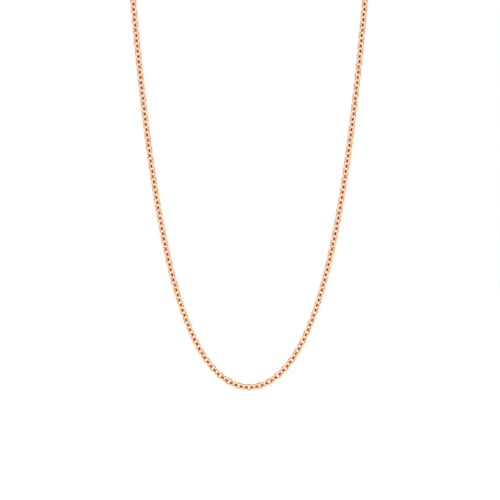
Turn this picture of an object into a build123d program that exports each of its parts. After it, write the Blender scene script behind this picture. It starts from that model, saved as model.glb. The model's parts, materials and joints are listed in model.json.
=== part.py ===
from build123d import *
import math
import os

# Belcher chain necklace, 45 cm long, with a lobster clasp at the nape.
# The closed loop hangs in the XZ plane. The origin is the centre of the arch where
# the chain lies over the neck, +Z is up and -Y faces the viewer.

# ---- chain links (mm) ----
WIRE = 0.70            # round wire diameter of a link
LINK_LENGTH = 3.18     # outside, along the chain
LINK_WIDTH = 2.70      # outside, across the chain
PLAY = 0.10            # free gap between two pieces that hang in each other
LINK_ROLL = 45.0       # degrees; neighbours turn opposite ways about the chain
PITCH = LINK_LENGTH - 2 * WIRE - PLAY

# ---- loop ----
CATENARY = 11.84       # radius of curvature at the bottom of the hanging curve
FRONT_LINKS = 4        # links on each side of the lowest one in the front arc
RUN_LINKS = 7          # links in each hinged run of a side
RUNS = 13              # hinged runs on each side
BACK_LINKS = 11        # links in each run that lies over the neck
BACK_RUNS = 3          # such runs on each side
SIDE_LINKS = FRONT_LINKS + RUNS * RUN_LINKS + BACK_RUNS * BACK_LINKS
LEAVE_BRACKET = (150.0, 172.0)  # the length of one hanging side lies between these
HALVINGS = 40          # of that bracket, until the loop closes
CHORD_STEPS = 6        # corrections that find a chord's far end on the curve

# ---- rings ----
JUMP_OUTER = 4.2       # jump ring that ties the last link to the clasp or end ring
JUMP_WIRE = 0.65
END_OUTER = 6.0        # end ring that the clasp hooks into
END_WIRE = 0.80
CLASP_ROLL = 90.0      # the clasp lies flat against the neck
LEFT_JUMP_ROLL = -22.5
RIGHT_JUMP_ROLL = -67.5
END_ROLL = 0.0

# ---- lobster clasp: x from tail to nose, z through its thickness ----
EYE_RADIUS = 1.35      # tail eyelet
EYE_HOLE = 0.70
EYE_THICK = 0.70
MOUTH_X = 7.20         # centre of the round mouth
MOUTH_RADIUS = 1.70
CLAW_HALF = 0.65       # half width of the claw's oval section
CLAW_HALF_THICK = 0.80
CLAW_ARC = (-101.0, 168.0)
GATE_ARC = (-160.0, -105.0)
GATE_HALF = 0.50
BODY_THICK = 1.90
BODY_CENTRE = (4.20, -0.35)
BODY_RADIUS = 2.10
BODY_ROUNDING = 0.35
NECK_X = 3.10          # the body narrows to this circle before the eyelet
NECK_RADIUS = 1.00
SLOT = 0.94            # width of the slot that holds the lever
SLOT_CORNER = (2.30, 0.75)  # its end towards the eyelet, and its floor
SLOT_LENGTH = 4.30
SLOT_DEPTH = 4.00
LEVER_THICK = 0.84
PIVOT = (4.00, -1.35)
PIN_RADIUS = 0.35
PIN_RUNNING = 0.03     # radial clearance of the lever on its rivet
HUB_RADIUS = 0.80
TAB_END = (2.60, -2.65)
TAB_RADIUS = 0.40
SPRING_WIRE = 0.14
SPRING_RADIUS = 0.53
SPRING_PITCH = 0.155
SPRING_TURNS = 1.5
SPRING_SEAT = 0.06     # height of the hub's face under the spring
SPRING_LIFT = 0.01     # the coil stands this far off that face

os.makedirs("parts", exist_ok=True)


def curve_point(s, s_leave):
    """Point (x, z) of the right half of the loop, s along it from the lowest point.

    A hanging curve up to s_leave, where it runs tangentially onto the arch over the neck.
    """
    lean = math.atan(CATENARY / s_leave)
    arch = CATENARY * math.asinh(s_leave / CATENARY) / math.cos(lean)
    if s <= s_leave:
        drop = math.hypot(CATENARY, s_leave) - math.hypot(CATENARY, s)
        return CATENARY * math.asinh(s / CATENARY), -arch * math.sin(lean) - drop
    turn = -lean + (s - s_leave) / arch
    return arch * math.cos(turn), arch * math.sin(turn)


def step_along(s, chord, s_leave):
    """Arc length at which the curve is one chord further on."""
    x0, z0 = curve_point(s, s_leave)
    after = s + chord
    for _ in range(CHORD_STEPS):
        x1, z1 = curve_point(after, s_leave)
        after += chord - math.hypot(x1 - x0, z1 - z0)
    return after


def side_contacts(s_leave):
    """Points where the links of the right side hang in each other, from the bottom up."""
    s = PITCH / 2
    points = [curve_point(s, s_leave)]
    for _ in range(SIDE_LINKS):
        s = step_along(s, PITCH, s_leave)
        points.append(curve_point(s, s_leave))
    return points


JUMP_SPAN = JUMP_OUTER - 2 * JUMP_WIRE - PLAY
END_SPAN = END_OUTER - 2 * END_WIRE - PLAY
CLASP_TAIL_X = EYE_RADIUS - EYE_HOLE + PLAY / 2
CLASP_SPAN = MOUTH_X + MOUTH_RADIUS - PLAY / 2 - CLASP_TAIL_X
FASTENING = [JUMP_SPAN, CLASP_SPAN, END_SPAN, JUMP_SPAN]


def closing_angle(s_leave):
    """Angle left over, about the arch's centre, once the fastening spans the gap."""
    x, z = side_contacts(s_leave)[-1]
    gap = 2 * (math.pi / 2 - math.atan2(z, x))
    arch = math.hypot(x, z)
    return gap - sum(2 * math.asin(span / (2 * arch)) for span in FASTENING)


def solve_leave():
    """Hanging length that makes the loop close, by halving an interval."""
    low, high = LEAVE_BRACKET
    for _ in range(HALVINGS):
        middle = (low + high) / 2
        if closing_angle(middle) > 0:
            high = middle
        else:
            low = middle
    return (low + high) / 2


S_LEAVE = solve_leave()
RIGHT = side_contacts(S_LEAVE)
ARCH = math.hypot(*RIGHT[-1])
LEFT = [(-x, z) for x, z in RIGHT]


def fastening_contacts():
    """Points from the left side's last contact, over the nape, to the right side's."""
    angle = math.atan2(LEFT[-1][1], LEFT[-1][0])
    points = [LEFT[-1]]
    for span in FASTENING:
        angle -= 2 * math.asin(span / (2 * ARCH))
        points.append((ARCH * math.cos(angle), ARCH * math.sin(angle)))
    return points


def seat(start, end, roll, inward):
    """Plane of a piece between two contacts: x along the chain, y across the piece.

    inward is +1 where the loop's inside lies left of the way from start to end.
    """
    along = Vector(end[0] - start[0], 0, end[1] - start[1]).normalized()
    inside = Vector(-along.Z, 0, along.X) * inward
    turn = math.radians(roll)
    across = inside * math.cos(turn) + Vector(0, 1, 0) * math.sin(turn)
    middle = ((start[0] + end[0]) / 2, 0, (start[1] + end[1]) / 2)
    return Plane(origin=middle, x_dir=along, z_dir=along.cross(across))


def oval_link():
    """Round wire bent to an oval: two half rings joined by two short straights."""
    bend = (LINK_WIDTH - WIRE) / 2
    straight = LINK_LENGTH - LINK_WIDTH
    half_box = Box(LINK_WIDTH, 2 * LINK_WIDTH, 2 * WIRE, align=(Align.MIN, Align.CENTER, Align.CENTER))
    bow = Torus(bend, WIRE / 2) & half_box
    side = Rot(0, 90, 0) * Cylinder(WIRE / 2, straight)
    return (
        Pos(straight / 2, 0, 0) * bow
        + Rot(0, 0, 180) * Pos(straight / 2, 0, 0) * bow
        + Pos(0, bend, 0) * side
        + Pos(0, -bend, 0) * side
    ).solid()


def ring(outer, wire):
    return Torus(outer / 2 - wire / 2, wire / 2)


LINK = oval_link()


def link_at(contacts, number, inward):
    """Link of one side between its contacts number - 1 and number."""
    roll = LINK_ROLL if number % 2 == 0 else -LINK_ROLL
    return seat(contacts[number - 1], contacts[number], roll, inward) * LINK


def write(name, solids):
    piece = Compound(label=name, children=list(solids)) if len(solids) > 1 else solids[0]
    piece.label = name
    export_step(piece, f"parts/{name}.step")


def write_chain():
    """Front arc, hinged runs and back runs; every link is a solid of its own."""
    lowest = seat(LEFT[0], RIGHT[0], LINK_ROLL, 1) * LINK
    arc = [lowest]
    for number in range(1, FRONT_LINKS + 1):
        arc += [link_at(LEFT, number, -1), link_at(RIGHT, number, 1)]
    write("chain_front_arc", arc)
    for side, contacts, inward in (("left", LEFT, -1), ("right", RIGHT, 1)):
        first = FRONT_LINKS + 1
        for run in range(RUNS, 0, -1):
            numbers = range(first, first + RUN_LINKS)
            write(f"chain_{side}_run_{run:02d}", [link_at(contacts, n, inward) for n in numbers])
            first += RUN_LINKS
        for run in range(BACK_RUNS, 0, -1):
            numbers = range(first, first + BACK_LINKS)
            write(f"chain_{side}_back_{run}", [link_at(contacts, n, inward) for n in numbers])
            first += BACK_LINKS


def clasp_body():
    """Claw round the mouth, a forked body for the lever, and the tail eyelet."""
    section = Pos(MOUTH_RADIUS + CLAW_HALF, 0, 0) * (Rot(90, 0, 0) * Ellipse(CLAW_HALF, CLAW_HALF_THICK))
    claw = revolve(section, Axis.Z, CLAW_ARC[1] - CLAW_ARC[0])
    claw = Pos(MOUTH_X, 0, 0) * Rot(0, 0, CLAW_ARC[0]) * claw
    outline = make_hull(
        (Pos(*BODY_CENTRE) * Circle(BODY_RADIUS)).edges() + (Pos(NECK_X, 0) * Circle(NECK_RADIUS)).edges()
    )
    block = extrude(outline, BODY_THICK / 2, both=True)
    block = fillet(block.edges(), BODY_ROUNDING)
    block -= Pos(MOUTH_X, 0, 0) * Cylinder(MOUTH_RADIUS, 2 * BODY_THICK)
    eye_half = (EYE_RADIUS - EYE_HOLE) / 2
    eye = revolve(Pos(EYE_HOLE + eye_half, 0, 0) * (Rot(90, 0, 0) * Ellipse(eye_half, EYE_THICK / 2)), Axis.Z)
    body = block + claw + Pos(EYE_RADIUS, 0, 0) * eye
    slot = Box(SLOT_LENGTH, SLOT_DEPTH, SLOT, align=(Align.MIN, Align.MAX, Align.CENTER))
    slot = Pos(*SLOT_CORNER, 0) * slot
    pin_hole = Pos(*PIVOT, 0) * Cylinder(PIN_RADIUS, 2 * BODY_THICK)
    return (body - slot - pin_hole).solid()


def clasp_lever():
    """Gate that closes the mouth, hub on the rivet and thumb tab."""
    section = Pos(MOUTH_RADIUS + CLAW_HALF, 0, 0) * (Rot(90, 0, 0) * Ellipse(GATE_HALF, LEVER_THICK / 2))
    gate = revolve(section, Axis.Z, GATE_ARC[1] - GATE_ARC[0])
    gate = Pos(MOUTH_X, 0, 0) * Rot(0, 0, GATE_ARC[0]) * gate
    outline = make_hull(
        (Pos(*PIVOT) * Circle(HUB_RADIUS)).edges() + (Pos(*TAB_END) * Circle(TAB_RADIUS)).edges()
    )
    tab = extrude(outline, LEVER_THICK / 2, both=True)
    spring_room = Pos(*PIVOT, SPRING_SEAT) * Cylinder(
        SPRING_RADIUS + SPRING_WIRE, LEVER_THICK, align=(Align.CENTER, Align.CENTER, Align.MIN)
    )
    bore = Pos(*PIVOT, 0) * Cylinder(PIN_RADIUS + PIN_RUNNING, 2 * BODY_THICK)
    return (gate + tab - spring_room - bore).solid()


def clasp_spring():
    """Open torsion coil on the rivet, beside the lever's hub."""
    coil = Helix(SPRING_PITCH, SPRING_PITCH * SPRING_TURNS, SPRING_RADIUS)
    section = Plane(origin=coil @ 0, z_dir=coil % 0) * Circle(SPRING_WIRE / 2)
    base = SPRING_SEAT + SPRING_LIFT + SPRING_WIRE / 2
    return Pos(*PIVOT, base) * sweep(section, path=coil)


def write_fastening():
    """Jump rings, lobster clasp and end ring across the nape, hooked together."""
    points = fastening_contacts()
    left_jump = seat(points[0], points[1], LEFT_JUMP_ROLL, -1)
    clasp_seat = seat(points[1], points[2], CLASP_ROLL, -1)
    end_seat = seat(points[2], points[3], END_ROLL, -1)
    right_jump = seat(points[3], points[4], RIGHT_JUMP_ROLL, -1)
    clasp_place = clasp_seat * Pos(-CLASP_TAIL_X - CLASP_SPAN / 2, 0, 0)
    pin = Pos(*PIVOT, 0) * Cylinder(PIN_RADIUS, BODY_THICK)
    write("left_jump_ring", [left_jump * ring(JUMP_OUTER, JUMP_WIRE)])
    write("clasp_body", [clasp_place * clasp_body()])
    write("clasp_lever", [clasp_place * clasp_lever()])
    write("clasp_rivet", [clasp_place * pin])
    write("clasp_spring", [clasp_place * clasp_spring()])
    write("end_ring", [end_seat * ring(END_OUTER, END_WIRE)])
    write("right_jump_ring", [right_jump * ring(JUMP_OUTER, JUMP_WIRE)])


write_chain()
write_fastening()
loop_length = (2 * SIDE_LINKS + 1) * PITCH + sum(FASTENING)
print(f"loop {loop_length:.1f} mm, arch radius {ARCH:.2f} mm, lowest contact z {RIGHT[0][1]:.2f} mm")
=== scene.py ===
import json
import math
import bpy
import numpy as np
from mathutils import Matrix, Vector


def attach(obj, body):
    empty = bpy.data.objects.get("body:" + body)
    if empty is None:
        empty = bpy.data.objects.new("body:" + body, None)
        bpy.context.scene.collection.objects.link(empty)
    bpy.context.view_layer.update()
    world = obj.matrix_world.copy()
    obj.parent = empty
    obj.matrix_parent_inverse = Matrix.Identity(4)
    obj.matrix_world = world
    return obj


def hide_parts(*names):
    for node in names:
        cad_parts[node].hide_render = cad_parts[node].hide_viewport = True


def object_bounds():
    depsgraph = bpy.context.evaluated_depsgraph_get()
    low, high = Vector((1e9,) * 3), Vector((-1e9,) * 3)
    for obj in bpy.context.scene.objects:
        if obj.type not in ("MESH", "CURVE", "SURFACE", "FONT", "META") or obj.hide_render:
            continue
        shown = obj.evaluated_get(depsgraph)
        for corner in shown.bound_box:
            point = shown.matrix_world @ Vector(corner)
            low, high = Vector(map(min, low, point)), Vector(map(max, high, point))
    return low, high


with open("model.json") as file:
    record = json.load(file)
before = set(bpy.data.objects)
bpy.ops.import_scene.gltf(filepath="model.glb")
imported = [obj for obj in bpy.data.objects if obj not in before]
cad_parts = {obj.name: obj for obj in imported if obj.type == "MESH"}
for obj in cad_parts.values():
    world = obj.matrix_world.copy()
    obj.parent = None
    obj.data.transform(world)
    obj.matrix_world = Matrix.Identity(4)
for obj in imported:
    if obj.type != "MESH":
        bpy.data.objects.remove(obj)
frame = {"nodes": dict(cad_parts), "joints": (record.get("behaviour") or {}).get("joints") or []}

cadBox = [list(corner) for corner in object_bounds()]
mm = 0.001
jointPlace = {joint["name"]: np.array(joint["pos_m"]) for joint in frame["joints"]}


def toLinear(hexColour):
    # sRGB hex to linear light, alpha 1: c / 12.92 when dark, else ((c + 0.055) / 1.055) to the 2.4
    parts = [int(hexColour[i:i + 2], 16) / 255 for i in (1, 3, 5)]
    return [c / 12.92 if c <= 0.04045 else ((c + 0.055) / 1.055) ** 2.4 for c in parts] + [1.0]


def addNode(tree, kind, inputs=None, **settings):
    # adds one node; a tuple (node, output name) as an input value makes a link
    node = tree.nodes.new(kind)
    for name, value in settings.items():
        setattr(node, name, value)
    for name, value in (inputs or {}).items():
        if isinstance(value, tuple) and isinstance(value[0], bpy.types.Node):
            tree.links.new(value[0].outputs[value[1]], node.inputs[name])
        else:
            node.inputs[name].default_value = value
    return node


def newMaterial(name):
    # a material with an empty node tree
    material = bpy.data.materials.new(name)
    material.use_nodes = True
    material.node_tree.nodes.clear()
    return material, material.node_tree


# The loop hangs as a catenary that runs smoothly onto a round arch over the neck. The arch's centre
# is the origin, and each side is numbered upwards from the lowest link, which is number 0.
loop = {
    "curveRadius": 11.84 * mm,     # at the lowest point
    "hangRange": (0.14, 0.18),     # metres of chain that hang on a side: the range searched
    "hangSteps": 4001,
    "pitch": 1.68 * mm,            # contact to contact
    "sideLinks": 128,              # links on each side of the lowest one
    "frontLinks": 4,               # of those, the ones in the front arc
    "runLinks": 7,                 # then runs that fold on each other
    "runs": 13,
    "backLinks": 11,               # then runs that lie over the neck
    "backRuns": 3,
}

ringSizes = {
    "jumpOuter": 4.2 * mm,
    "jumpWire": 0.65 * mm,
    "endOuter": 6.0 * mm,
    "endWire": 0.80 * mm,
    "play": 0.10 * mm,             # left where two pieces hang in each other
    "seamGap": 0.035 * mm,         # the two cut ends of a ring butt together
}


def span(outer, wire):
    # contact to contact length of a ring: its diameter less both wires and the play
    return outer - 2 * wire - ringSizes["play"]


jumpSpan = span(ringSizes["jumpOuter"], ringSizes["jumpWire"])
endSpan = span(ringSizes["endOuter"], ringSizes["endWire"])


def loopShape():
    # The joint in the middle of the right jump ring lies on a chord of the arch, so the arch radius
    # squared is that distance squared plus half the chord squared. A catenary of radius c and length
    # s leans by the arctangent of c / s and is c * asinh(s / c) wide, which is the arch radius times
    # the cosine of the lean: that gives a radius for each s, and the s of our radius is read off.
    middle = np.linalg.norm(jointPlace["right_jump_ring_roll"])
    arch = math.hypot(middle, jumpSpan / 2)
    c = loop["curveRadius"]
    hanging = np.linspace(*loop["hangRange"], loop["hangSteps"])
    archFor = c * np.arcsinh(hanging / c) * np.hypot(1, c / hanging)
    return arch, float(np.interp(arch, archFor, hanging))


archRadius, hangLength = loopShape()
archLean = math.atan(loop["curveRadius"] / hangLength)


def loopPoints(s):
    # Right half of the loop, s along the chain from the lowest point. Hanging: x = c * asinh(s / c),
    # and z is below the arch's foot by what sqrt(c^2 + s^2) lacks of its value there. On the arch: x
    # and z are the radius times the cosine and sine of the angle turned since its foot, less the lean.
    c = loop["curveRadius"]
    turn = (s - hangLength) / archRadius - archLean
    drop = math.hypot(c, hangLength) - np.hypot(c, s)
    hanging = s <= hangLength
    x = np.where(hanging, c * np.arcsinh(s / c), archRadius * np.cos(turn))
    z = np.where(hanging, -archRadius * math.sin(archLean) - drop, archRadius * np.sin(turn))
    return np.stack([x, np.zeros_like(x), z], axis=-1)


def sideContacts():
    # The points where the links hang in each other, evenly spaced along the chain from half a pitch
    # up to the jump ring; the spacing is the pitch stretched by a hair so that the last one meets it.
    ring = jointPlace["right_jump_ring_roll"]
    lastAngle = math.atan2(ring[2], ring[0]) - math.asin(jumpSpan / 2 / archRadius)
    last = hangLength + (lastAngle + archLean) * archRadius
    return loopPoints(np.linspace(loop["pitch"] / 2, last, loop["sideLinks"] + 1))


rightContacts = sideContacts()
leftContacts = rightContacts * [-1, 1, 1]
print("loop: arch radius %.2f mm, hanging side %.1f mm" % (archRadius / mm, hangLength / mm))


def seats(starts, ends, rolls, inward):
    # Middle, along, across and normal of pieces between pairs of contacts. Across is the way to the
    # loop's inside times the cosine of the roll plus Y times its sine, so a roll of 0 lays the piece
    # in the plane of the loop; inward is +1 where the inside is left of the way along, else -1.
    along = ends - starts
    along /= np.linalg.norm(along, axis=-1, keepdims=True)
    inside = np.stack([-along[..., 2], np.zeros(len(along)), along[..., 0]], axis=-1) * inward
    rolls = np.radians(rolls)[:, None]
    across = inside * np.cos(rolls) + np.array([0, 1, 0]) * np.sin(rolls)
    return (starts + ends) / 2, along, across, np.cross(along, across)


def addPiece(name, points, faces, material, smooth=True):
    # one mesh object from points in any grid, taken row by row, and faces that number them
    mesh = bpy.data.meshes.new(name)
    mesh.from_pydata(points.reshape(-1, 3), [], faces)
    mesh.polygons.foreach_set("use_smooth", np.full(len(mesh.polygons), smooth))
    mesh.materials.append(material)
    piece = bpy.data.objects.new(name, mesh)
    bpy.context.scene.collection.objects.link(piece)
    return piece


def gridFaces(rows, columns, closedRows=True):
    # Quads of a tube: point (i, j) is number i * columns + j, and each quad joins it to the next row
    # and column. Columns close round the wire; rows close too unless the wire has two ends.
    lastRow = rows if closedRows else rows - 1
    i, j = np.meshgrid(np.arange(lastRow), np.arange(columns), indexing="ij")
    here, above = i * columns, (i + 1) % rows * columns
    nextJ = (j + 1) % columns
    return np.stack([here + j, above + j, above + nextJ, here + nextJ], -1).reshape(-1, 4)


plate = {
    "recess": "#B06E3C",           # painted shade: brown where links hang in each other and light does not reach
    "toneDetail": 2.0,
    "scratchDetail": 3.0,
    "scratchMix": 0.6,             # how much the finest scratches count
    "scratchRange": (0.35, 0.7),   # the part of the scratch pattern that changes the gloss
    "bumpStrength": 0.25,
}

# Colours are what one bounce of white light gives, and in patches the same a little redder. Real
# wiping scratches are about 0.01 mm wide, and are drawn ten times coarser so that they show.
polishedFinish = {
    "colours": ("#FBD3B3", "#F7C8A0"),
    "toneSize": 2.5 * mm,
    "scratchSize": 0.12 * mm,
    "roughness": (0.07, 0.16),
    "bumpHeight": 0.002 * mm,
}

wireFinish = {
    "colours": ("#FBD3B3", "#F7C8A0"),
    "toneSize": 3.0 * mm,
    "scratchSize": 0.10 * mm,
    "roughness": (0.08, 0.18),
    "bumpHeight": 0.002 * mm,
}

tumbledFinish = {
    "colours": ("#F8CFB1", "#F7C8A0"),
    "toneSize": 3.0 * mm,
    "scratchSize": 0.20 * mm,      # dents of the tumbling beads
    "roughness": (0.10, 0.24),
    "bumpHeight": 0.004 * mm,
}


def roseGoldPlate(name, finish):
    # Rose gold plate over brass: copper-rich gold, so white comes back warm pink and every further bounce
    # between links turns more orange. Fine scratches break the mirror, and a painted shade turns the plate
    # brown where links hang in each other, by a mask that the piece carries. Colour is a mix by noise, then
    # by that painted shade mask.
    material, tree = newMaterial(name)
    place = addNode(tree, "ShaderNodeTexCoord")
    tone = addNode(tree, "ShaderNodeTexNoise", {
        "Vector": (place, "Object"), "Scale": 1 / finish["toneSize"], "Detail": plate["toneDetail"]})
    colour = addNode(tree, "ShaderNodeMix", {"Factor": (tone, "Fac")}, data_type="RGBA")
    colour.inputs["A"].default_value = toLinear(finish["colours"][0])
    colour.inputs["B"].default_value = toLinear(finish["colours"][1])
    # painted shade: brown is mixed in where the piece's mask is 1, for the shade between links
    recess = addNode(tree, "ShaderNodeAttribute", attribute_name="recess")
    paintedShadeMix = addNode(tree, "ShaderNodeMix", {"Factor": (recess, "Fac")}, data_type="RGBA")
    tree.links.new(colour.outputs["Result"], paintedShadeMix.inputs["A"])
    paintedShadeMix.inputs["B"].default_value = toLinear(plate["recess"])
    scratches = addNode(tree, "ShaderNodeTexNoise", {
        "Vector": (place, "Object"), "Scale": 1 / finish["scratchSize"],
        "Detail": plate["scratchDetail"], "Roughness": plate["scratchMix"]})
    gloss = addNode(tree, "ShaderNodeMapRange", {
        "Value": (scratches, "Fac"),
        "From Min": plate["scratchRange"][0], "From Max": plate["scratchRange"][1],
        "To Min": finish["roughness"][0], "To Max": finish["roughness"][1]})
    bump = addNode(tree, "ShaderNodeBump", {
        "Height": (scratches, "Fac"), "Strength": plate["bumpStrength"],
        "Distance": finish["bumpHeight"]})
    shader = addNode(tree, "ShaderNodeBsdfPrincipled", {
        "Metallic": 1.0, "Roughness": (gloss, "Result"), "Normal": (bump, "Normal")})
    tree.links.new(paintedShadeMix.outputs["Result"], shader.inputs["Base Color"])
    addNode(tree, "ShaderNodeOutputMaterial", {"Surface": (shader, "BSDF")})
    return material


polishedPlate = roseGoldPlate("polishedRoseGoldPlate", polishedFinish)       # mirror, wiped by hand
wirePlate = roseGoldPlate("drawnWireRoseGoldPlate", wireFinish)              # a little less bright
tumbledPlate = roseGoldPlate("tumbledCastRoseGoldPlate", tumbledFinish)      # soft and satin

spring = {
    "colour": "#B9BABC",
    "grainSize": 0.08 * mm,
    "roughness": (0.25, 0.45),
}


def springSteel():
    # Drawn spring steel wire, unplated: neutral grey with a dull sheen. Its gloss follows a noise of
    # the drawing marks' size.
    material, tree = newMaterial("drawnSpringSteel")
    place = addNode(tree, "ShaderNodeTexCoord")
    grain = addNode(tree, "ShaderNodeTexNoise", {
        "Vector": (place, "Object"), "Scale": 1 / spring["grainSize"]})
    gloss = addNode(tree, "ShaderNodeMapRange", {
        "Value": (grain, "Fac"), "To Min": spring["roughness"][0], "To Max": spring["roughness"][1]})
    shader = addNode(tree, "ShaderNodeBsdfPrincipled", {
        "Base Color": toLinear(spring["colour"]), "Metallic": 1.0, "Roughness": (gloss, "Result")})
    addNode(tree, "ShaderNodeOutputMaterial", {"Surface": (shader, "BSDF")})
    return material


print("materials: done")

link = {
    "wire": 0.70 * mm,
    "width": 2.70 * mm,
    "roll": 45.0,                  # degrees; neighbours turn opposite ways
    "rollSpread": 2.0,             # how far a link sits from that, at random
    "lowTwist": -9.0,              # degrees that the chain is twisted by near its lowest point
    "lowTwistAt": 6,               # link where that twist is largest, to the right of the lowest
    "lowTwistReach": 8,            # links over which it dies away
    "sway": 3.0,                   # slow twist to and fro along the whole chain
    "swayLinks": 23,               # links in one such wave
    "paintedShadeReach": (0.30, 0.90),   # how near the end of the oval the painted shade starts and is full
    "paintedShadeWrap": 0.8,             # how far it comes round the wire; 1 ends it at the outermost line
    "pathPoints": 12,
    "wirePoints": 8,
    "smoothing": 1,
    "seed": 7,
}


def splineShrink(count):
    # a smooth surface through a cage of count points round a circle lies inside it by this factor:
    # a sixth of 4 plus twice the cosine of one step
    return (4 + 2 * math.cos(2 * math.pi / count)) / 6


def linkAngles():
    # u round the oval and v round the wire; u starts half a step on, so that the oval's straights
    # fall between two points
    u = (np.arange(link["pathPoints"]) + 0.5) * 2 * np.pi / link["pathPoints"]
    v = np.arange(link["wirePoints"]) * 2 * np.pi / link["wirePoints"]
    return np.meshgrid(u, v, indexing="ij")


def linkCage():
    # An oval of round wire, whose centre line is two half circles joined by straights:
    # x = (bend + r cos v) cos u, moved out by half a straight, y = (bend + r cos v) sin u, z = r sin v.
    # The radii are enlarged by what the smoothing takes away. Links of one run just touch.
    u, v = linkAngles()
    uShrink = splineShrink(link["pathPoints"])
    vShrink = splineShrink(link["wirePoints"])
    bend = (link["width"] - link["wire"]) / 2 / uShrink
    length = loop["pitch"] + 2 * link["wire"]
    straight = (length - link["width"]) / 2
    radius = link["wire"] / 2 / vShrink
    out = bend + radius / uShrink * np.cos(v)
    x = out * np.cos(u) + straight * np.sign(np.cos(u))
    return np.stack([x, out * np.sin(u), radius * np.sin(v)], -1)


def linkPaintedShade():
    # Painted shade mask: 1 on the inside of both bows, where the neighbours hang and shade the wire, fading
    # to 0 along the sides and round to the outside of the wire: how near u is to an end, times the wrap less
    # the cosine of v
    u, v = linkAngles()
    low, high = link["paintedShadeReach"]
    near = np.clip((np.abs(np.cos(u)) - low) / (high - low), 0, 1)
    return (near * np.clip(link["paintedShadeWrap"] - np.cos(v), 0, 1)).ravel()


cage = linkCage()
cagePaintedShade = linkPaintedShade()
cageFaces = gridFaces(link["pathPoints"], link["wirePoints"])
rng = np.random.default_rng(link["seed"])
sideRolls = np.where(np.arange(loop["sideLinks"] + 1) % 2 == 0, link["roll"], -link["roll"])


def twist(numbers):
    # slow twist of the chain in degrees, numbered from the lowest link, negative to the left: a bell
    # beside the lowest link plus a sine wave that fades out over the last run at the nape
    fade = np.clip((loop["sideLinks"] - np.abs(numbers)) / loop["backLinks"], 0, 1)
    bell = link["lowTwist"] * np.exp(-((numbers - link["lowTwistAt"]) / link["lowTwistReach"]) ** 2)
    return bell + link["sway"] * fade * np.sin(2 * np.pi * numbers / link["swayLinks"])


def linkSeats(contacts, numbers, inward):
    # link n of a side lies between contacts n - 1 and n; its roll is 45 degrees one way or the other,
    # plus the random spread, plus the chain's twist there
    rolls = sideRolls[numbers] + rng.uniform(-link["rollSpread"], link["rollSpread"], len(numbers))
    rolls = rolls + twist(numbers * inward)
    return seats(contacts[numbers - 1], contacts[numbers], rolls, inward)


def linksPiece(name, seatArrays, looseEnds, body, node):
    # Copies of the cage, one for each seat: point = middle + x * along + y * across + z * normal.
    # looseEnds holds 1 for the start and the end of a link that hangs in another piece, where half
    # the play lengthens the oval.
    middle, along, across, normal = [part[:, None, None] for part in seatArrays]
    x, y, z = cage[None, ..., 0:1], cage[None, ..., 1:2], cage[None, ..., 2:3]
    loose = np.where(x > 0, looseEnds[:, None, None, 1:2], looseEnds[:, None, None, 0:1])
    x = x + np.sign(x) * loose * ringSizes["play"] / 2
    points = middle + x * along + y * across + z * normal
    starts = np.arange(len(middle))[:, None, None] * cage[..., 0].size
    faces = (cageFaces[None] + starts).reshape(-1, 4)
    piece = addPiece(name, points, faces, polishedPlate)
    # the painted shade mask, one value for each cage point of every link, which the material turns brown
    recess = piece.data.attributes.new("recess", "FLOAT", "POINT")
    recess.data.foreach_set("value", np.tile(cagePaintedShade, len(middle)).astype(np.float32))
    smooth = piece.modifiers.new("roundWire", "SUBSURF")
    smooth.levels = link["smoothing"]
    smooth.render_levels = link["smoothing"]
    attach(piece, body)
    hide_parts(node)


def frontArc():
    # the lowest link and its neighbours on both sides; the last link of each side hangs in a run
    reach = loop["frontLinks"]
    numbers = np.arange(1, reach + 1)
    lowest = seats(leftContacts[:1], rightContacts[:1], link["roll"] + twist(np.zeros(1)), 1)
    parts = [lowest, linkSeats(leftContacts, numbers, -1), linkSeats(rightContacts, numbers, 1)]
    looseEnds = np.zeros((2 * reach + 1, 2))
    looseEnds[[reach, -1], 1] = 1
    linksPiece("frontArcLinks", [np.concatenate(part) for part in zip(*parts)], looseEnds,
               "front_arc", "chain_front_arc")


def sideRun(name, side, first, count, body, node):
    # a run of count links numbered upwards from first; its two outer ends hang in other pieces
    contacts, inward = (leftContacts, -1) if side == "left" else (rightContacts, 1)
    looseEnds = np.zeros((count, 2))
    looseEnds[0, 0] = looseEnds[-1, 1] = 1
    numbers = np.arange(first, first + count)
    linksPiece(name, linkSeats(contacts, numbers, inward), looseEnds, body, node)


def sideChain(side):
    # from the front arc up; the runs' own names count down from the nape
    first = loop["frontLinks"] + 1
    for run in range(loop["runs"], 0, -1):
        body = "%s_run_%02d" % (side, run)
        sideRun("%sRun%02dLinks" % (side, run), side, first, loop["runLinks"], body, "chain_" + body)
        first += loop["runLinks"]
    for run in range(loop["backRuns"], 0, -1):
        node = "chain_%s_back_%d" % (side, run)
        sideRun("%sBack%dLinks" % (side, run), side, first, loop["backLinks"], "root", node)
        first += loop["backLinks"]


frontArc()
sideChain("left")
sideChain("right")
print("chain: done")

ringLook = {
    "leftRoll": -22.5,             # degrees out of the loop's plane
    "endRoll": 0.0,
    "rightRoll": -67.5,
    "pathPoints": 96,
    "wirePoints": 24,
    "bevel": 0.05 * mm,            # the cut ends are rounded by tumbling
    "bevelWay": (0.0, 0.12, 0.45),     # points of that rounding, as shares of the bevel
    "bevelDrop": (1.0, 0.5, 0.12),     # and how much thinner the wire is there
    "seamAngle": 62.0,             # degrees from the chain's way to the cut
}


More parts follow.
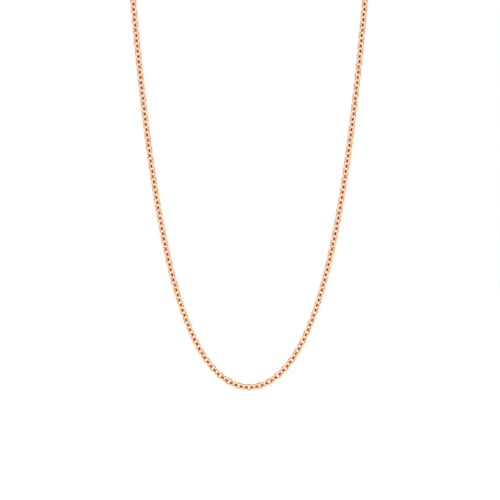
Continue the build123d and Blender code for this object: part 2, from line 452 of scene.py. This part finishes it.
def makeRing(name, start, end, roll, outer, wire, body):
    # Round wire bent to a circle from one cut end to the other, u along the wire and v round it:
    # point = middle + out cos(u + seam) * along + out sin(u + seam) * across + r sin v * normal,
    # with out = bend + r cos v. r drops over the last points, and a flat face closes each end.
    # The CAD node has the body's name.
    middle, along, across, normal = [part[0] for part in seats(start[None], end[None], np.array([roll]), -1)]
    bend = (outer - wire) / 2
    halfGap = ringSizes["seamGap"] / 2 / bend
    edge = ringLook["bevel"] / bend
    u = np.linspace(halfGap + edge, 2 * np.pi - halfGap - edge, ringLook["pathPoints"])
    endU = halfGap + edge * np.array(ringLook["bevelWay"])
    u = np.concatenate([endU, u, 2 * np.pi - endU[::-1]])
    drop = ringLook["bevel"] * np.array(ringLook["bevelDrop"])
    size = np.full(len(u), wire / 2)
    size[:len(drop)] -= drop
    size[-len(drop):] -= drop[::-1]
    v = np.arange(ringLook["wirePoints"]) * 2 * np.pi / ringLook["wirePoints"]
    u, v = np.meshgrid(u, v, indexing="ij")
    out = bend + size[:, None] * np.cos(v)
    angle = u + math.radians(ringLook["seamAngle"])
    side = size[:, None] * np.sin(v)
    points = (middle + (out * np.cos(angle))[..., None] * along
              + (out * np.sin(angle))[..., None] * across + side[..., None] * normal)
    rows, columns = u.shape
    faces = [tuple(face) for face in gridFaces(rows, columns, closedRows=False).tolist()]
    faces.append(tuple(range(columns)))
    faces.append(tuple(reversed(range((rows - 1) * columns, rows * columns))))
    piece = addPiece(name, points, faces, wirePlate)
    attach(piece, body)
    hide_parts(body)


def napeContacts():
    # Points on the arch from the left side's last contact over the nape to the right side's. A ring
    # takes the angle twice the arcsine of half its span over the radius; the clasp takes the rest.
    jump = 2 * math.asin(jumpSpan / 2 / archRadius)
    end = 2 * math.asin(endSpan / 2 / archRadius)
    first = math.atan2(leftContacts[-1][2], leftContacts[-1][0])
    last = math.atan2(rightContacts[-1][2], rightContacts[-1][0])
    angles = np.array([first, first - jump, last + jump + end, last + jump, last])
    return archRadius * np.stack([np.cos(angles), np.zeros_like(angles), np.sin(angles)], -1)


nape = napeContacts()
makeRing("leftJumpRing", nape[0], nape[1], ringLook["leftRoll"],
         ringSizes["jumpOuter"], ringSizes["jumpWire"], "left_jump_ring")
makeRing("endRing", nape[2], nape[3], ringLook["endRoll"],
         ringSizes["endOuter"], ringSizes["endWire"], "end_ring")
makeRing("rightJumpRing", nape[3], nape[4], ringLook["rightRoll"],
         ringSizes["jumpOuter"], ringSizes["jumpWire"], "right_jump_ring")
print("rings: done")


def dressNode(node, material):
    # a CAD piece keeps its shape and gets this material alone
    mesh = frame["nodes"][node].data
    mesh.materials.clear()
    mesh.materials.append(material)


for claspNode in ("clasp_body", "clasp_lever", "clasp_rivet"):
    dressNode(claspNode, tumbledPlate)
dressNode("clasp_spring", springSteel())
print("clasp: done")

studio = {
    "floorDrop": 0.12,             # floor below the lowest link
    "floorHalf": 8.0,
    "floorColour": "#F7F6F4",
    "floorRoughness": (0.75, 0.9),
    "floorMottle": 6.0,            # soft patches of gloss in a metre of paper
    "floorGlow": 0.25,             # the paper's own light, which lifts it to white
    "skyStrength": 1.0,
    "skyColour": "#FFFFFF",
    "dimColour": "#8F99A6",        # the opening in the tent that the camera looks through
    "dimHeight": 10.0,             # degrees above the camera's line
    "dimInner": 12.0,              # degrees from its middle where it starts to fade
    "dimOuter": 42.0,              # and where it is gone
    "boxWays": {
        "leftSoftbox": (-1.0, -0.55, 0.25),
        "rightSoftbox": (1.0, -0.55, 0.25),
        "topSoftbox": (0.0, 0.3, 1.0),
    },
    "boxDistance": 0.55,
    "boxSize": 0.20,
    "boxPower": 0.06,
}

view = {
    "width": 0.1596,               # seen across at the chain
    "distance": 0.70,
    "sensor": 36.0,                # millimetres
    "aside": 0.3 * mm,             # the loop hangs this far left of the middle of the view
    "lowestBelow": 43.75 * mm,     # lowest link below the middle of the view
    "clip": (0.01, 50.0),
}


def makeCamera():
    # level with the middle of the view and straight in front of it; the lens is as long against the
    # sensor as the distance against the width
    lens = bpy.data.cameras.new("camera")
    lens.sensor_width = view["sensor"]
    lens.lens = view["sensor"] * view["distance"] / view["width"]
    lens.clip_start, lens.clip_end = view["clip"]
    camera = bpy.data.objects.new("camera", lens)
    bpy.context.scene.collection.objects.link(camera)
    lowest = float(rightContacts[0][2])
    target = (view["aside"], 0.0, lowest + view["lowestBelow"])
    camera.location = (target[0], -view["distance"], target[2])
    camera.rotation_euler = (math.pi / 2, 0.0, 0.0)
    bpy.context.scene.camera = camera
    return target


def makeFloor():
    # a flat sheet of matt white paper: a square of twice floorHalf at one height
    half = studio["floorHalf"]
    z = cadBox[0][2] - studio["floorDrop"]
    corners = np.array([[-half, -half, z], [half, -half, z], [half, half, z], [-half, half, z]])
    roughness = studio["floorRoughness"]
    material, tree = newMaterial("paleStudioFloor")
    place = addNode(tree, "ShaderNodeTexCoord")
    mottle = addNode(tree, "ShaderNodeTexNoise", {
        "Vector": (place, "Object"), "Scale": studio["floorMottle"]})
    gloss = addNode(tree, "ShaderNodeMapRange", {
        "Value": (mottle, "Fac"), "To Min": roughness[0], "To Max": roughness[1]})
    shader = addNode(tree, "ShaderNodeBsdfPrincipled", {
        "Base Color": toLinear(studio["floorColour"]), "Roughness": (gloss, "Result"),
        "Emission Color": (1.0, 1.0, 1.0, 1.0), "Emission Strength": studio["floorGlow"]})
    addNode(tree, "ShaderNodeOutputMaterial", {"Surface": (shader, "BSDF")})
    addPiece("floor", corners, [(0, 1, 2, 3)], material, smooth=False)


def makeSky():
    # An even white tent with a dim opening in front, which the near sides of the links show. The dim
    # colour's share is a smooth step in the cosine of the angle from the opening's middle.
    world = bpy.data.worlds.new("whiteTent")
    bpy.context.scene.world = world
    world.use_nodes = True
    tree = world.node_tree
    tree.nodes.clear()
    place = addNode(tree, "ShaderNodeTexCoord")
    lift = math.radians(studio["dimHeight"])
    facing = addNode(tree, "ShaderNodeVectorMath", {
        0: (place, "Generated"), 1: (0.0, -math.cos(lift), math.sin(lift))}, operation="DOT_PRODUCT")
    opening = addNode(tree, "ShaderNodeMapRange", {
        "Value": (facing, "Value"), "From Min": math.cos(math.radians(studio["dimOuter"])),
        "From Max": math.cos(math.radians(studio["dimInner"]))}, interpolation_type="SMOOTHSTEP")
    colour = addNode(tree, "ShaderNodeMix", {"Factor": (opening, "Result")}, data_type="RGBA")
    colour.inputs["A"].default_value = toLinear(studio["skyColour"])
    colour.inputs["B"].default_value = toLinear(studio["dimColour"])
    light = addNode(tree, "ShaderNodeBackground", {"Strength": studio["skyStrength"]})
    tree.links.new(colour.outputs["Result"], light.inputs["Color"])
    addNode(tree, "ShaderNodeOutputWorld", {"Surface": (light, "Background")})


def aim(item, target):
    # turns a lamp, which shines down its own Z, at the target: pitch is the arctangent of the level
    # distance over the drop, and yaw the way's angle from +Y
    way = np.array(target) - np.array(item.location)
    yaw = math.atan2(-way[0], way[1])
    pitch = math.atan2(math.hypot(way[0], way[1]), -way[2])
    item.rotation_euler = (pitch, 0.0, yaw)


def makeLights(target):
    # square softboxes, each boxDistance from the target along its own way
    for name, way in studio["boxWays"].items():
        lamp = bpy.data.lights.new(name, "AREA")
        lamp.shape = "SQUARE"
        lamp.size = studio["boxSize"]
        lamp.energy = studio["boxPower"]
        item = bpy.data.objects.new(name, lamp)
        bpy.context.scene.collection.objects.link(item)
        item.location = np.array(target) + np.array(way) / np.linalg.norm(way) * studio["boxDistance"]
        aim(item, target)


lookAt = makeCamera()
makeFloor()
makeSky()
makeLights(lookAt)
bpy.context.scene.view_settings.view_transform = "Standard"
print("studio: done")
